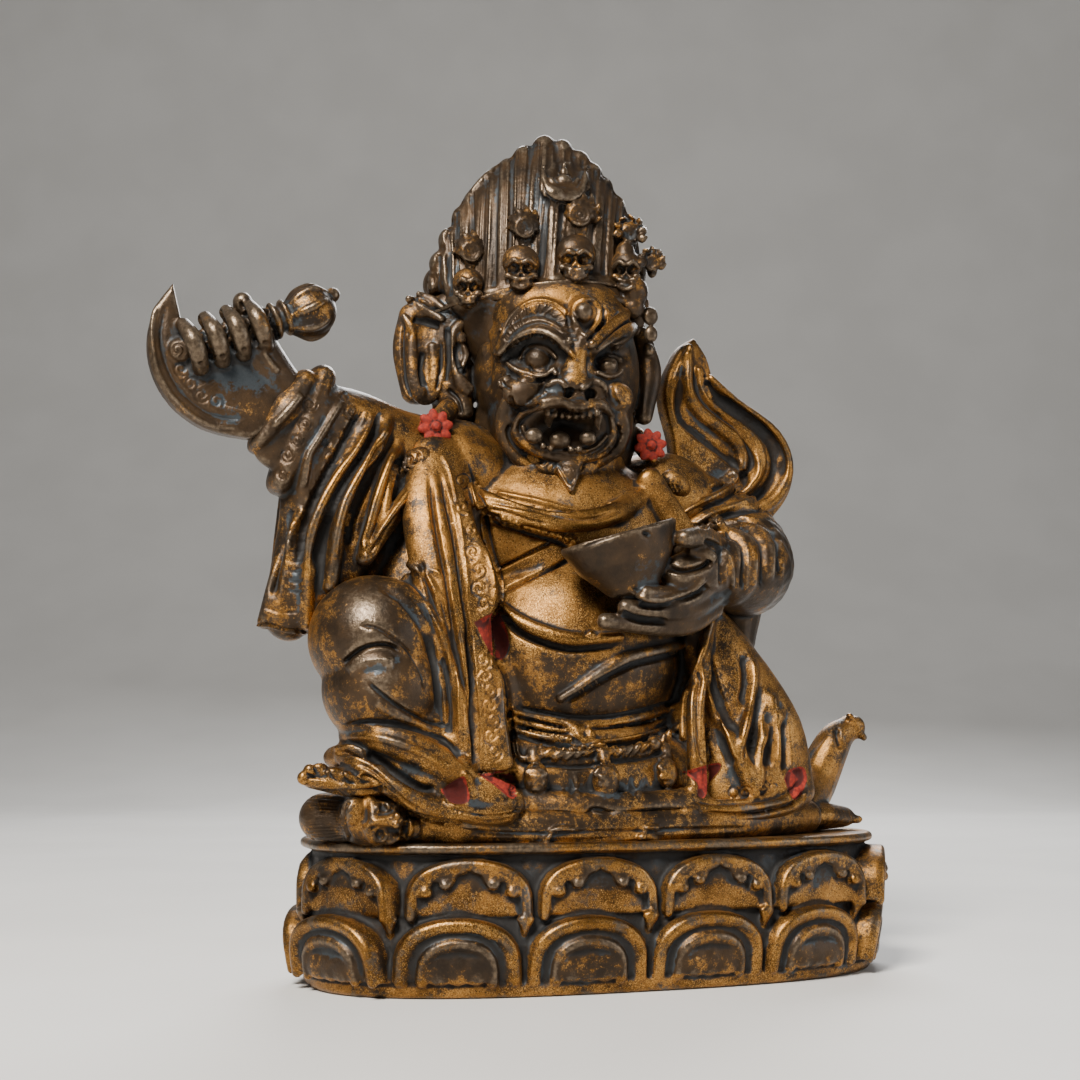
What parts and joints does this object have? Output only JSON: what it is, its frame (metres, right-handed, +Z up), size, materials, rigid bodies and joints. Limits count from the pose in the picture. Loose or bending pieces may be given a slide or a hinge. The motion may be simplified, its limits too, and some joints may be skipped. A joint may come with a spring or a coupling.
{
  "type": "mahakala figure",
  "caption": "Small cast wrathful deity in a wide-sleeved robe, seated on a fallen body over a double lotus base, holding a flaying knife and a skull cup.",
  "frame": {"origin": "middle of the base's flat underside", "axes": "+Z up, the figure faces -Y, +X towards its own left hand"},
  "size_m": [0.0971, 0.0401, 0.1064],
  "materials": {
    "gilt_bronze": "dark brown patinated bronze with worn gilding, rubbed high points and touches of matt red paint"
  },
  "bodies": {
    "root": {"mahakala_on_lotus_base": "gilt_bronze"}
  },
  "joints": []
}
